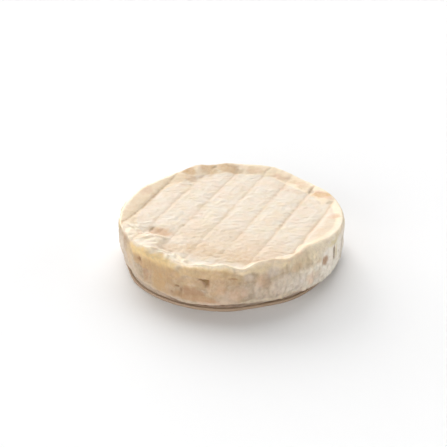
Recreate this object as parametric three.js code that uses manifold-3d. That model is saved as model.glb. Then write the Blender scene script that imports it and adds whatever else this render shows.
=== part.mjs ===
// A soft-ripened cheese wheel with mat lines across its top, on the thin card disc it is sold on.
// Millimetres, +Z up. The mat lines run along Y, and the disc's underside is at z = 0.
// Angles are in degrees from +X, counter-clockwise seen from above.
import * as THREE from "three";
import { mergeVertices } from "three/addons/utils/BufferGeometryUtils.js";
import Module from "manifold-3d";

// Driving dimensions of the wheel: the rim's crest, the pressed top inside it, the belly of the
// side, and the lower edge that the side turns in at.
const CREST_RADIUS = 63.5;
const CREST_HEIGHT = 28.2;
const TOP_LEVEL = 26;
const WALL_FOOT_RADIUS = 56;
const BELLY_RADIUS = 65.3;
const BELLY_HEIGHT = 15.5;
const LOWER_EDGE_RADIUS = 64.4;
const LOWER_EDGE_HEIGHT = 4.7;
const NARROWEST_WALL = 2;

// The card disc lies a little off the wheel's axis and has two straight cuts. The wheel's underside
// stops short of the disc's edge.
const DISC_RADIUS = 62;
const DISC_THICKNESS = 1.9;
const DISC_OFFSET = { x: -1, y: -2.5 };
const DISC_FLATS = [
  { at: -48, distance: 60.4 },
  { at: -140, distance: 60.6 },
];
const UNDERSIDE_INSET = 1.4;
const GAP = 0.3;
const UNDERSIDE_HEIGHT = DISC_THICKNESS + GAP;

// The draining mat pressed a line into the curd at each of these x, deepest at the two outer ones.
const MAT_LINES = [-52.4, -37.2, -19.6, -2.4, 14.6, 32.2, 50.4];
const MAT_LINE_WIDTH = 2;
const MAT_LINE_DEPTH = 0.35;
const OUTER_MAT_LINE_DEPTH = 0.55;
const MAT_LINE_REACH = 70;

// The rim's waves: angle and half width, push outwards and lift.
const RIM_WAVES = [
  { at: 18, half: 16, push: 2.4, lift: -0.1 },
  { at: 45, half: 12, push: 1.4, lift: 0 },
  { at: 65, half: 12, push: -0.9, lift: -0.8 },
  { at: 92, half: 13, push: 1.3, lift: 1.1 },
  { at: 115, half: 7, push: 1.1, lift: 1 },
  { at: 133, half: 7, push: 1.6, lift: 1 },
  { at: 158, half: 15, push: -1.8, lift: -0.9 },
  { at: -172, half: 14, push: -1.2, lift: -0.6 },
  { at: -143, half: 9, push: 0.9, lift: -0.4 },
  { at: -92, half: 7, push: 1.5, lift: 0.1 },
  { at: -70, half: 5, push: -1.6, lift: 0.6 },
  { at: -59.5, half: 4.5, push: 1.1, lift: -1.1 },
  { at: -47, half: 10, push: -3.2, lift: 1 },
  { at: -19, half: 13, push: -4.7, lift: 0.8 },
  { at: -102.5, half: 7, push: -3, lift: 0 },
];
// Where the inner wall's foot is pushed inwards.
const FOOT_WAVES = [
  { at: 142, half: 8, push: -4.5 },
  { at: 45, half: 10, push: -1.5 },
  { at: -121, half: 12, push: -5 },
];
// The belly swells to one side, and is pressed in at two smooth patches and a fold in front.
const BELLY_WAVES = [
  { at: 24, half: 34, push: 2 },
  { at: -155, half: 30, push: 0.3 },
  { at: -103.5, half: 6, push: -0.9 },
  { at: -84, half: 7, push: -0.7 },
  { at: -45.5, half: 4, push: -0.5 },
];
const LOWER_EDGE_WAVES = [
  { at: 24, half: 30, push: 1.6, lift: 0 },
  { at: 5, half: 14, push: 0, lift: 0.5 },
  { at: -30, half: 14, push: -1.5, lift: -0.3 },
  { at: -58, half: 12, push: 0, lift: 1 },
  { at: -88, half: 10, push: 0.3, lift: -1.1 },
  { at: -103, half: 9, push: 0, lift: 0.6 },
  { at: -116, half: 8, push: 0, lift: 0.4 },
  { at: -150, half: 28, push: -1.8, lift: 0 },
];

// How the inner wall climbs from its foot to the crest, and how sharply the undercut turns in.
const WALL_POWER = 1.2;
const UNDERCUT_POWER = 0.45;

// The shoulder keeps a tight lip under the crest: the further the belly stands out, the rounder it is.
const LIP_ROUND = 3;
const SHOULDER_POWER = { least: 0.3, most: 0.75 };

// At the front left the shoulder is a chamfer that drops from the crest to a second, outer edge.
const CHAMFER = { at: -109, inner: 13, outer: 22, drop: 2.5 };

// A ledge of rind is folded in at the front left. Its edge runs through these points (x, y) and stops
// at a mat line, and the top sinks to a hollow behind it.
const LEDGE_EDGE = [
  [-58, -36],
  [-50, -38],
  [-43, -40.5],
  [-36, -43.5],
  [-32, -41.5],
  [-25, -41],
  [-19, -37.5],
];
const LEDGE_RISE = 1.7;
const LEDGE_SLOPE = 1.1;
const LEDGE_END = { from: -25, to: -18 };
const HOLLOW = { x: -29, y: -35, halfLength: 9, halfWidth: 4, rise: -1.2 };

// Holes and cracks in the side: half their width and height, and how deep they go.
const PITS = [
  { at: -78.5, height: 18.4, halfWidth: 3, halfHeight: 2.4, depth: 1.3, sides: 3 },
  { at: -118.5, height: 20.5, halfWidth: 1.4, halfHeight: 1.2, depth: 0.9, sides: 6 },
  { at: -92.5, height: 13.5, halfWidth: 1.5, halfHeight: 0.9, depth: 0.8, sides: 6 },
  { at: -64.5, height: 22, halfWidth: 2.4, halfHeight: 0.7, depth: 0.8, sides: 6 },
  { at: -11, height: 18.5, halfWidth: 3.4, halfHeight: 2.6, depth: 0.7, sides: 5 },
  { at: -0.5, height: 19.5, halfWidth: 0.9, halfHeight: 4.6, depth: 1.2, sides: 6 },
];
// A cutter starts this far outside the surface that it cuts.
const CUTTER_REACH = 1.5;

// How finely the wheel is faceted.
const SEGMENTS = 120;
const TOP_RINGS = 9;
const WALL_RINGS = 4;
const SHOULDER_RINGS = 6;
const SIDE_RINGS = 4;
const UNDERCUT_RINGS = 3;
const MAT_LINE_STEPS = 36;
const DISC_SEGMENTS = 96;
const WELD = 1e-3;

const COLOURS = { rind: 0xe6d3b0, card: 0xb9a48c };

const wasm = await Module();
wasm.setup();

const { degToRad, radToDeg, clamp, lerp, smoothstep, euclideanModulo } = THREE.MathUtils;

function bell(distance, half) {
  return Math.exp(-((distance / half) ** 2));
}

// The signed difference between two angles, from -180 to 180.
function turnFrom(angle, at) {
  return euclideanModulo(angle - at + 180, 360) - 180;
}

function sumWaves(waves, angle, key) {
  return waves.reduce((sum, wave) => sum + wave[key] * bell(turnFrom(angle, wave.at), wave.half), 0);
}

// The radius where the pressed top ends: the wall's foot, or an outermost mat line that is nearer.
function footRadius(angle) {
  const along = Math.cos(degToRad(angle));
  const outermost = along > 0 ? MAT_LINES.at(-1) : MAT_LINES[0];
  const lineRadius = Math.abs(along) < 0.01 ? Infinity : outermost / along;
  return Math.min(WALL_FOOT_RADIUS, lineRadius) + sumWaves(FOOT_WAVES, angle, "push");
}

// The disc's radius about its own middle.
function discEdge(angle) {
  const cuts = DISC_FLATS.map(({ at, distance }) => {
    return distance / Math.max(Math.cos(degToRad(turnFrom(angle, at))), 0.5);
  });
  return Math.min(DISC_RADIUS, ...cuts);
}

// Everything about the rim and the side at one angle.
function rimAt(angle) {
  const crest = CREST_RADIUS + sumWaves(RIM_WAVES, angle, "push");
  const height = CREST_HEIGHT + sumWaves(RIM_WAVES, angle, "lift");
  const belly = BELLY_RADIUS + sumWaves(BELLY_WAVES, angle, "push");
  const roundness = (belly - crest) ** 2 / (LIP_ROUND * (height - BELLY_HEIGHT));
  const discShift = DISC_OFFSET.x * Math.cos(degToRad(angle)) + DISC_OFFSET.y * Math.sin(degToRad(angle));
  return {
    crest,
    height,
    belly,
    foot: Math.min(footRadius(angle), crest - NARROWEST_WALL),
    shoulderPower: clamp(roundness, SHOULDER_POWER.least, SHOULDER_POWER.most),
    lowerEdge: LOWER_EDGE_RADIUS + sumWaves(LOWER_EDGE_WAVES, angle, "push"),
    lowerHeight: LOWER_EDGE_HEIGHT + sumWaves(LOWER_EDGE_WAVES, angle, "lift"),
    underside: discEdge(angle) - UNDERSIDE_INSET + discShift,
    chamfer: 1 - smoothstep(Math.abs(turnFrom(angle, CHAMFER.at)), CHAMFER.inner, CHAMFER.outer),
  };
}

function mound(x, y, { x: centreX, y: centreY, halfLength, halfWidth, rise }) {
  return rise * bell(Math.hypot((x - centreX) / halfLength, (y - centreY) / halfWidth), 1);
}

// The y of the ledge's edge at x, on the line between its points.
function ledgeEdge(x) {
  const next = LEDGE_EDGE.findIndex(([edgeX]) => edgeX > x);
  if (next === 0) return LEDGE_EDGE[0][1];
  if (next < 0) return LEDGE_EDGE.at(-1)[1];
  const [x0, y0] = LEDGE_EDGE[next - 1];
  const [x1, y1] = LEDGE_EDGE[next];
  return lerp(y0, y1, (x - x0) / (x1 - x0));
}

// 1 on the ledge, 0 behind its edge and past its end.
function ledgeAt(x, y) {
  const inFront = 1 - smoothstep(y - ledgeEdge(x), -LEDGE_SLOPE, LEDGE_SLOPE);
  return inFront * (1 - smoothstep(x, LEDGE_END.from, LEDGE_END.to));
}

// The height of the top at (x, y): the pressed face, then the inner wall up to the rim's crest.
function topHeight(x, y) {
  const rim = rimAt(radToDeg(Math.atan2(y, x)));
  const climb = clamp((Math.hypot(x, y) - rim.foot) / (rim.crest - rim.foot), 0, 1);
  const ledge = ledgeAt(x, y);
  const pressed = TOP_LEVEL + LEDGE_RISE * ledge + mound(x, y, HOLLOW) * (1 - ledge);
  return pressed + (rim.height - pressed) * (1 - (1 - climb) ** WALL_POWER);
}

// The section outside the crest: round the shoulder from the crest (t = 0) to the belly (t = 1).
function shoulderPoint(rim, t) {
  const swing = (t * Math.PI) / 2;
  const roundRadius = rim.crest + (rim.belly - rim.crest) * Math.sin(swing);
  const roundHeight = BELLY_HEIGHT + (rim.height - BELLY_HEIGHT) * Math.cos(swing) ** rim.shoulderPower;
  const slope = clamp(2 * t, 0, 1);
  const chamferRadius = lerp(rim.crest, rim.belly, slope);
  const edgeHeight = rim.height - CHAMFER.drop * slope;
  const chamferHeight = lerp(edgeHeight, BELLY_HEIGHT, clamp(2 * t - 1, 0, 1));
  return [lerp(roundRadius, chamferRadius, rim.chamfer), lerp(roundHeight, chamferHeight, rim.chamfer)];
}

// Down the side from the belly (t = 0) to the lower edge (t = 1).
function sidePoint(rim, t) {
  return [
    rim.belly + (rim.lowerEdge - rim.belly) * t ** 2,
    BELLY_HEIGHT + (rim.lowerHeight - BELLY_HEIGHT) * t,
  ];
}

// Under the lower edge (t = 0), turning in to the flat underside (t = 1).
function undercutPoint(rim, t) {
  return [
    lerp(rim.lowerEdge, rim.underside, t ** UNDERCUT_POWER),
    lerp(rim.lowerHeight, UNDERSIDE_HEIGHT, t),
  ];
}

// The wheel's section at one angle, as radius and height, from the top's centre to the underside's.
function sectionAt(angle) {
  const rim = rimAt(angle);
  const x = Math.cos(degToRad(angle));
  const y = Math.sin(degToRad(angle));
  const points = [];
  const addTop = (radius) => points.push([radius, topHeight(radius * x, radius * y)]);
  for (let j = 0; j <= TOP_RINGS; j += 1) addTop((rim.foot * j) / TOP_RINGS);
  for (let j = 1; j <= WALL_RINGS; j += 1) addTop(rim.foot + ((rim.crest - rim.foot) * j) / WALL_RINGS);
  for (let j = 1; j <= SHOULDER_RINGS; j += 1) points.push(shoulderPoint(rim, j / SHOULDER_RINGS));
  for (let j = 1; j <= SIDE_RINGS; j += 1) points.push(sidePoint(rim, j / SIDE_RINGS));
  for (let j = 1; j <= UNDERCUT_RINGS; j += 1) points.push(undercutPoint(rim, j / UNDERCUT_RINGS));
  points.push([0, UNDERSIDE_HEIGHT]);
  return points;
}

// A lathe gives the rings, and each of its points then moves to its place on the uneven wheel.
function wheelGeometry() {
  const profile = sectionAt(0).map(([radius, height]) => new THREE.Vector2(radius, height));
  const geometry = new THREE.LatheGeometry(profile.reverse(), SEGMENTS);
  const position = geometry.attributes.position;
  for (let i = 0; i <= SEGMENTS; i += 1) {
    const angle = (360 * (i % SEGMENTS)) / SEGMENTS;
    const section = sectionAt(angle).reverse();
    section.forEach(([radius, height], k) => {
      const x = radius * Math.cos(degToRad(angle));
      const y = radius * Math.sin(degToRad(angle));
      position.setXYZ(i * section.length + k, x, y, height);
    });
  }
  return geometry;
}

// The cutter for the mat line at x: a wedge along Y whose edge follows the top at a steady depth.
function matLineGeometry(x, depth) {
  const reach = (MAT_LINE_WIDTH / 2) * (1 + CUTTER_REACH / depth);
  const wedge = new THREE.Shape();
  wedge.moveTo(0, -depth);
  wedge.lineTo(reach, CUTTER_REACH);
  wedge.lineTo(-reach, CUTTER_REACH);
  wedge.closePath();
  const length = 2 * Math.sqrt(MAT_LINE_REACH ** 2 - x ** 2);
  const settings = { depth: length, steps: MAT_LINE_STEPS, bevelEnabled: false };
  const geometry = new THREE.ExtrudeGeometry(wedge, settings);
  geometry.rotateX(Math.PI / 2);
  geometry.translate(x, length / 2, 0);
  const position = geometry.attributes.position;
  for (let i = 0; i < position.count; i += 1) {
    position.setZ(i, position.getZ(i) + topHeight(x, position.getY(i)));
  }
  return geometry;
}

// The side's radius at an angle and a height, between the lower edge and the crest.
function sideRadius(angle, height) {
  const rim = rimAt(angle);
  if (height <= BELLY_HEIGHT) {
    return sidePoint(rim, (BELLY_HEIGHT - height) / (BELLY_HEIGHT - rim.lowerHeight))[0];
  }
  const drop = (height - BELLY_HEIGHT) / (rim.height - BELLY_HEIGHT);
  const swing = Math.acos(drop ** (1 / rim.shoulderPower));
  return rim.crest + (rim.belly - rim.crest) * Math.sin(swing);
}

// The cutter for one pit: a pointed cone that enters the side, stretched to the pit's outline,
// with one corner straight down.
function pitGeometry({ at, height, halfWidth, halfHeight, depth, sides }) {
  const length = depth + CUTTER_REACH;
  const geometry = new THREE.ConeGeometry(length / depth, length, sides, 1, false, Math.PI);
  geometry.translate(0, -length / 2, 0);
  geometry.rotateZ(Math.PI / 2);
  geometry.scale(1, halfWidth, halfHeight);
  geometry.translate(sideRadius(at, height) - depth, 0, height);
  geometry.rotateZ(degToRad(at));
  return geometry;
}

function toSolid(geometry) {
  const bare = geometry.clone();
  bare.deleteAttribute("normal");
  bare.deleteAttribute("uv");
  const merged = mergeVertices(bare, WELD);
  const vertProperties = merged.attributes.position.array;
  const triVerts = new Uint32Array(merged.index.array);
  return new wasm.Manifold(new wasm.Mesh({ numProp: 3, vertProperties, triVerts }));
}

function toMesh(name, solid, colour, roughness) {
  const { vertProperties, triVerts } = solid.getMesh();
  const geometry = new THREE.BufferGeometry();
  geometry.setAttribute("position", new THREE.BufferAttribute(vertProperties, 3));
  geometry.setIndex(new THREE.BufferAttribute(triVerts, 1));
  geometry.computeVertexNormals();
  const mesh = new THREE.Mesh(
    geometry,
    new THREE.MeshStandardMaterial({ color: colour, roughness, metalness: 0 }),
  );
  mesh.name = name;
  return mesh;
}

function cheeseWheel() {
  const lines = MAT_LINES.map((x, i) => {
    const outer = i === 0 || i === MAT_LINES.length - 1;
    return matLineGeometry(x, outer ? OUTER_MAT_LINE_DEPTH : MAT_LINE_DEPTH);
  });
  const cutters = [...lines, ...PITS.map(pitGeometry)].map(toSolid);
  const wheel = cutters.reduce((solid, cutter) => solid.subtract(cutter), toSolid(wheelGeometry()));
  return toMesh("cheese_wheel", wheel, COLOURS.rind, 0.7);
}

function cardDisc() {
  const outline = new THREE.Shape();
  for (let i = 0; i < DISC_SEGMENTS; i += 1) {
    const angle = (360 * i) / DISC_SEGMENTS;
    const radius = discEdge(angle);
    const x = DISC_OFFSET.x + radius * Math.cos(degToRad(angle));
    const y = DISC_OFFSET.y + radius * Math.sin(degToRad(angle));
    if (i === 0) outline.moveTo(x, y);
    else outline.lineTo(x, y);
  }
  outline.closePath();
  const geometry = new THREE.ExtrudeGeometry(outline, { depth: DISC_THICKNESS, bevelEnabled: false });
  return toMesh("card_disc", toSolid(geometry), COLOURS.card, 0.9);
}

// The uneven wheel is moved so that the middle of its outline is at x = 0, y = 0.
const group = new THREE.Group();
group.add(cheeseWheel(), cardDisc());
const middle = new THREE.Box3().setFromObject(group).getCenter(new THREE.Vector3());
group.position.set(-middle.x, -middle.y, 0);

export default group;
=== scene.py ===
# %% [markdown]
# # A soft-ripened cheese wheel on its card disc
#
# The real thing is a round of soft cheese about 13 cm across and not quite 3 cm high. It was drained on a
# reed mat, turned, salted and left to grow a thin white and ochre rind, and it is sold on a thin card disc.
# Two pieces are made here: the wheel, as one dense mesh whose relief is real geometry, and the disc.
#
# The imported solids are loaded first. They are the fixed frame: what is made here goes where they are.

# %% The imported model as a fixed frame
import math
import bpy
import numpy as np
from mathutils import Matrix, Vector, noise


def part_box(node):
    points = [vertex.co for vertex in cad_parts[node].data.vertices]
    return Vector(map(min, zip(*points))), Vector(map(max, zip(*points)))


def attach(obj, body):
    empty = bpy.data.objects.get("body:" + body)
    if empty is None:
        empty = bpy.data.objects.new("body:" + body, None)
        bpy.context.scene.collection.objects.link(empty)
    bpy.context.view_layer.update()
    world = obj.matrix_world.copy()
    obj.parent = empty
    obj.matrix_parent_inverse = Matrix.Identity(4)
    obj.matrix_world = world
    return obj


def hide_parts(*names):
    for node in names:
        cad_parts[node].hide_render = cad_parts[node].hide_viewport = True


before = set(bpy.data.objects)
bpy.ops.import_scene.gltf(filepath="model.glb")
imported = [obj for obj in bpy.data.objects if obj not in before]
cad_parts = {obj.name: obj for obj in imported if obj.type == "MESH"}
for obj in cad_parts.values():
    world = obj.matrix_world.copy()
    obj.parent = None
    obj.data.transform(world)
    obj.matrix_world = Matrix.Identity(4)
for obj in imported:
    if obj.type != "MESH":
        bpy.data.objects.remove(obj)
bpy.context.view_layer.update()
MM = 0.001
print("solids:", sorted(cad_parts))

# %% [markdown]
# ## The camera
#
# It is made first, because everything after it is judged through it. It stands about 67 cm away and looks
# down at 29 degrees, with a long lens, so the wheel's ellipse is hardly widened by perspective. The wheel
# itself is never turned: the mat lines run along +Y, and the camera goes round it instead.

# %% The camera
CARD_OFFSET = np.array([-1.0, -2.5])
CARD_THICKNESS = 1.9
card_low, card_high = (np.array(corner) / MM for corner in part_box("card_disc"))
WHEEL_AXIS = (card_low[:2] + card_high[:2]) / 2 - CARD_OFFSET

CAMERA_TURN = math.radians(24.55)
CAMERA_PITCH = math.radians(28.92)
CAMERA_PLACE = (235.5, -525.1, 338.6)
LENS = 89.3
SENSOR = 36

bpy.ops.object.camera_add(rotation=(math.pi / 2 - CAMERA_PITCH, 0, CAMERA_TURN))
camera = bpy.context.object
camera.location = (
    (CAMERA_PLACE[0] + WHEEL_AXIS[0]) * MM,
    (CAMERA_PLACE[1] + WHEEL_AXIS[1]) * MM,
    CAMERA_PLACE[2] * MM,
)
camera.data.lens = LENS
camera.data.sensor_width = SENSOR
bpy.context.scene.camera = camera
print("the wheel's axis is at", WHEEL_AXIS.round(3), "mm in the frame")

# %% [markdown]
# ## The wheel's form, in numbers
#
# The same named sizes as in the solids: a crest, a pressed top inside it, a belly, and a lower edge that
# turns in to the underside. The card lies a little off the wheel's axis and has two straight cuts.

# %% The sizes of the wheel, in millimetres
CREST_RADIUS = 63.5
CREST_HEIGHT = 28.2
TOP_LEVEL = 26
WALL_FOOT_RADIUS = 56
BELLY_RADIUS = 65.3
BELLY_HEIGHT = 15.5
LOWER_EDGE_RADIUS = 64.4
LOWER_EDGE_HEIGHT = 4.7
CARD_RADIUS = 62
CARD_FLATS = ((-48, 60.4), (-140, 60.6))
CARD_CORNER = 0.7
UNDERSIDE_INSET = 1.4
NARROWEST_WALL = 2
MAT_LINES = (-52.4, -37.2, -19.6, -2.4, 14.6, 32.2, 50.4)
print("the wheel is about", 2 * BELLY_RADIUS, "mm across with", len(MAT_LINES), "mat lines")

# %% [markdown]
# ## Waves of the rim
#
# Soft curd slumps as it drains, so the crest wanders in and out and up and down. One could pull a round rim
# about in sculpt mode. A list of waves does the same and can be read: each is a bell-shaped bump with an
# angle, a half width in degrees, a push outwards and, where it has one, a lift. Angles run from +X to +Y.

# %% Waves of the crest, the wall's foot, the belly and the lower edge
RIM_WAVES = (
    (18, 16, 2.4, -0.1), (45, 12, 1.4, 0), (65, 12, -0.9, -0.8), (92, 13, 1.3, 1.1),
    (115, 7, 1.1, 1), (133, 7, 1.6, 1), (158, 15, -1.8, -0.9), (-172, 14, -1.2, -0.6),
    (-143, 9, 0.9, -0.4), (-92, 7, 1.5, 0.1), (-70, 5, -1.6, 0.6), (-59.5, 4.5, 1.1, -1.1),
    (-47, 10, -3.2, 1), (-19, 13, -4.7, 0.8), (-102.5, 7, -3, 0),
)
FOOT_WAVES = ((142, 8, -4.5), (45, 10, -1.5), (-121, 12, -5))
BELLY_WAVES = ((24, 34, 2), (-155, 30, 0.3), (-103.5, 6, -0.9), (-84, 7, -0.7), (-45.5, 4, -0.5))
LOWER_EDGE_WAVES = (
    (24, 30, 1.6, 0), (5, 14, 0, 0.5), (-30, 14, -1.5, -0.3), (-58, 12, 0, 1),
    (-88, 10, 0.3, -1.1), (-103, 9, 0, 0.6), (-116, 8, 0, 0.4), (-150, 28, -1.8, 0),
)
CHAMFER_AT = -109
CHAMFER_INNER = 13
CHAMFER_OUTER = 22
CHAMFER_DROP = 2.5
PUSH = 2
LIFT = 3
print("waves of the crest:", len(RIM_WAVES))

# %% [markdown]
# ## The curves that bend everything
#
# A bell makes a bump, and an ease makes a soft step from 0 to 1. They shape the waves here, and later the
# folds, the grooves and the edges of the stains, so that nothing on the cheese has a hard corner.


# %% Bell, ease and waves
def bell(distance, half):
    """1 at no distance, and near 0 beyond twice the half width."""
    return np.exp(-((distance / half) ** 2))


def turn_from(angle, at):
    """How far an angle has turned from another, in degrees from -180 to 180."""
    return (angle - at + 180) % 360 - 180


def sum_waves(waves, angle, key):
    return sum(wave[key] * bell(turn_from(angle, wave[0]), wave[1]) for wave in waves)


def ease(value, low, high):
    """0 below low, 1 above high, and a soft step between."""
    t = np.clip((value - low) / (high - low), 0, 1)
    return t * t * (3 - 2 * t)


print("a bell at half its width:", bell(0.5, 1).round(2))

# %% [markdown]
# ## The card's edge and the rim, by angle
#
# Two functions give the outline of the card and every size of the rim at any angle. The solids use the
# same two, so the dressed wheel can't drift away from them. The wall inside the crest stops at the outer
# mat line.


# %% The card's edge and the rim at an angle
def card_edge(angle):
    """The card's radius about its own middle: round, but for two straight cuts with worn corners."""
    worn = np.ones(np.shape(angle))
    for at, distance in CARD_FLATS:
        cut = distance / np.maximum(np.cos(np.radians(turn_from(angle, at))), 0.5)
        worn = worn + np.exp((CARD_RADIUS - cut) / CARD_CORNER)
    return CARD_RADIUS - CARD_CORNER * np.log(worn)


def rim_at(angle):
    along = np.cos(np.radians(angle))
    outermost = np.where(along > 0, MAT_LINES[-1], MAT_LINES[0])
    line_radius = outermost / np.where(np.abs(along) < 0.01, 0.01 * np.sign(outermost), along)
    crest = CREST_RADIUS + sum_waves(RIM_WAVES, angle, PUSH)
    foot = np.minimum(WALL_FOOT_RADIUS, line_radius) + sum_waves(FOOT_WAVES, angle, PUSH)
    return {
        "crest": crest,
        "foot": np.minimum(foot, crest - NARROWEST_WALL),
        "height": CREST_HEIGHT + sum_waves(RIM_WAVES, angle, LIFT),
        "belly": BELLY_RADIUS + sum_waves(BELLY_WAVES, angle, PUSH),
        "lower": LOWER_EDGE_RADIUS + sum_waves(LOWER_EDGE_WAVES, angle, PUSH),
        "lower_height": LOWER_EDGE_HEIGHT + sum_waves(LOWER_EDGE_WAVES, angle, LIFT),
        "underside": card_edge(angle) - UNDERSIDE_INSET + CARD_OFFSET @ [along, np.sin(np.radians(angle))],
        "chamfer": 1 - ease(np.abs(turn_from(angle, CHAMFER_AT)), CHAMFER_INNER, CHAMFER_OUTER),
    }


crest_radii = rim_at(np.arange(360.0))["crest"]
print("crest radius from", crest_radii.min().round(1), "to", crest_radii.max().round(1), "mm")

# %% [markdown]
# ## A mesh dense enough for the rind
#
# The rind's wrinkles are 2 mm apart, so the mesh needs a point about every 0.6 mm. A lathe would crowd its
# points in the middle. A square grid spreads them evenly, and squeezed into a disc it still has no pole.


# %% Reading, writing and selecting
def deselect_all():
    bpy.ops.object.select_all(action="DESELECT")


def points_of(mesh):
    flat = np.empty(len(mesh.vertices) * 3)
    mesh.vertices.foreach_get("co", flat)
    return flat.reshape(-1, 3)


def put_points(mesh, points):
    mesh.vertices.foreach_set("co", np.ascontiguousarray(points, dtype=np.float32).ravel())
    mesh.update()


def select_edges(mesh, chosen):
    bpy.ops.mesh.select_all(action="DESELECT")
    bpy.ops.object.mode_set(mode="OBJECT")
    mesh.edges.foreach_set("select", chosen)
    bpy.ops.object.mode_set(mode="EDIT")


def edge_heights(mesh):
    """The height of both ends of each edge."""
    ends = np.empty(len(mesh.edges) * 2, dtype=np.int32)
    mesh.edges.foreach_get("vertices", ends)
    return points_of(mesh)[:, 2][ends].reshape(-1, 2)


print("helpers for meshes are ready")

# %% A grid squeezed into a disc
GRID = 200

deselect_all()
bpy.ops.mesh.primitive_grid_add(x_subdivisions=GRID, y_subdivisions=GRID, size=2)
wheel = bpy.context.object
wheel.name = wheel.data.name = "rind"
square = points_of(wheel.data)
disc = square.copy()
disc[:, 0] = square[:, 0] * np.sqrt(1 - square[:, 1] ** 2 / 2)
disc[:, 1] = square[:, 1] * np.sqrt(1 - square[:, 0] ** 2 / 2)
put_points(wheel.data, disc)
print("a point about every", round(2 * CREST_RADIUS / GRID, 2), "mm")

# %% [markdown]
# ## The side of the blank
#
# The disc's border is extruded down once and closed below. The upright edges that this makes are then cut
# into many rings, which is the same as a lathe's rings but keeps the grid's points above them.

# %% A side of many rings
SIDE_CUTS = 51

bpy.ops.object.mode_set(mode="EDIT")
bpy.ops.mesh.select_mode(type="EDGE")
bpy.ops.mesh.select_all(action="DESELECT")
bpy.ops.mesh.select_non_manifold()
bpy.ops.mesh.extrude_region_move(TRANSFORM_OT_translate={"value": (0, 0, -1)})
bpy.ops.mesh.edge_face_add()
bpy.ops.object.mode_set(mode="OBJECT")
heights = edge_heights(wheel.data)
bpy.ops.object.mode_set(mode="EDIT")
select_edges(wheel.data, np.abs(heights[:, 0] - heights[:, 1]) > 0.5)
bpy.ops.mesh.subdivide(number_cuts=SIDE_CUTS)
bpy.ops.mesh.select_mode(type="VERT")
bpy.ops.mesh.select_all(action="SELECT")
bpy.ops.mesh.normals_make_consistent(inside=False)
bpy.ops.object.mode_set(mode="OBJECT")
blank = points_of(wheel.data)
print("the blank has", len(blank), "points and", len(wheel.data.polygons), "faces")

# %% [markdown]
# ## The rim at each point
#
# Each point of the blank knows its angle, and asks for the rim there. Smooth noise, whose lumps have a size
# in millimetres, makes the crest ragged, less so at the back. Blender's own noise is used and not chance,
# because it only depends on where a point is and so is the same each run. A seed shifts it to other lumps.


# %% Noise with a size in millimetres
def rough(coordinates, size, seed=0.0):
    """Smooth noise, mostly from -0.5 to 0.5, with lumps of that size; size may differ along each axis."""
    scaled = np.stack(coordinates, axis=1) / np.asarray(size, dtype=float) + seed
    return np.array([noise.noise(spot) for spot in scaled.tolist()])


print("noise at one spot:", rough(([1.0], [2.0], [3.0]), 2)[0].round(3))

# %% The rim at each point, roughened
FRONT_AT = -80

blank_radius = np.hypot(blank[:, 0], blank[:, 1])
angle = np.degrees(np.arctan2(blank[:, 1], blank[:, 0]))
on_side = blank[:, 2] < -1e-4
rim = rim_at(angle)
around = (np.cos(np.radians(angle)) * CREST_RADIUS, np.sin(np.radians(angle)) * CREST_RADIUS, angle * 0)
to_back = ease(np.abs(turn_from(angle, FRONT_AT)), 60, 95)
uneven = 1 - 0.6 * to_back
rim["crest"] = rim["crest"] + uneven * (0.9 * rough(around, 9, 3) + 0.5 * rough(around, 3.5, 8))
rim["height"] = rim["height"] + uneven * (0.7 * rough(around, 8, 14) + 0.45 * rough(around, 3, 21))
rim["foot"] = np.minimum(rim["foot"] + uneven * 2.2 * rough(around, 6, 31), rim["crest"] - NARROWEST_WALL)
rim["lower"] = rim["lower"] + 0.5 * rough(around, 11, 43) + 0.2 * rough(around, 4, 47)
rim["lower_height"] = rim["lower_height"] + 0.5 * rough(around, 12, 53) + 0.25 * rough(around, 4, 57)
print("the crest is", rim["height"].min().round(1), "to", rim["height"].max().round(1), "mm high")

# %% [markdown]
# ## The pressed top
#
# The top is flat where the mat pressed it, and climbs to the crest in a rounded wall. At the front left a
# ledge of rind is folded in, and the top sinks to a hollow behind it. The ledge is a step along a short path
# of points (x, y), and it ends at a mat line.

# %% The top's height
WALL_POWER = 1.2
LEDGE_EDGE = ((-58, -36), (-50, -38), (-43, -40.5), (-36, -43.5), (-32, -41.5), (-25, -41), (-19, -37.5))
LEDGE_SLOPE = 1.1
LEDGE_RISE = 1.7
LEDGE_END = (-25, -18)
HOLLOW = (-29, -35, 9, 4, -1.2)


def mound(x, y, centre_x, centre_y, half_length, half_width, rise):
    return rise * bell(np.hypot((x - centre_x) / half_length, (y - centre_y) / half_width), 1)


def ledge_at(x, y):
    """1 on the ledge of rind at the front left, 0 behind its edge and right of the mat line that ends it."""
    edge = np.interp(x, *zip(*LEDGE_EDGE)) + 1.2 * rough((x, x * 0, x * 0), 5, 37)
    return (1 - ease(y - edge, -LEDGE_SLOPE, LEDGE_SLOPE)) * (1 - ease(x, *LEDGE_END))


def climb_at(x, y, rim):
    """0 on the pressed top, 1 at the crest."""
    return np.clip((np.hypot(x, y) - rim["foot"]) / (rim["crest"] - rim["foot"]), 0, 1)


def top_height(x, y, rim):
    climb = climb_at(x, y, rim)
    pressed = TOP_LEVEL + LEDGE_RISE * ledge_at(x, y) + mound(x, y, *HOLLOW) * (1 - ledge_at(x, y))
    return pressed + (rim["height"] - pressed) * (1 - (1 - climb) ** WALL_POWER)


print("the ledge stands", LEDGE_RISE, "mm above the top, the hollow", -HOLLOW[-1], "mm below it")

# %% [markdown]
# ## The section outside the crest
#
# A number t runs from 0 at the crest over the shoulder to the belly at 1, down to the lower edge at 2, and
# in under it to the card at 3. The shoulder is a quarter of a rounded square: the further the belly stands
# out, the rounder it is. In front at the left it is a chamfer, where the mould's rim pressed the curd.

# %% Radius and height along the section
LIP_ROUND = 3
SHOULDER_POWERS = (0.3, 0.75)
UNDERCUT_POWER = 0.45
CHAMFER_SHARE = 0.5


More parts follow.
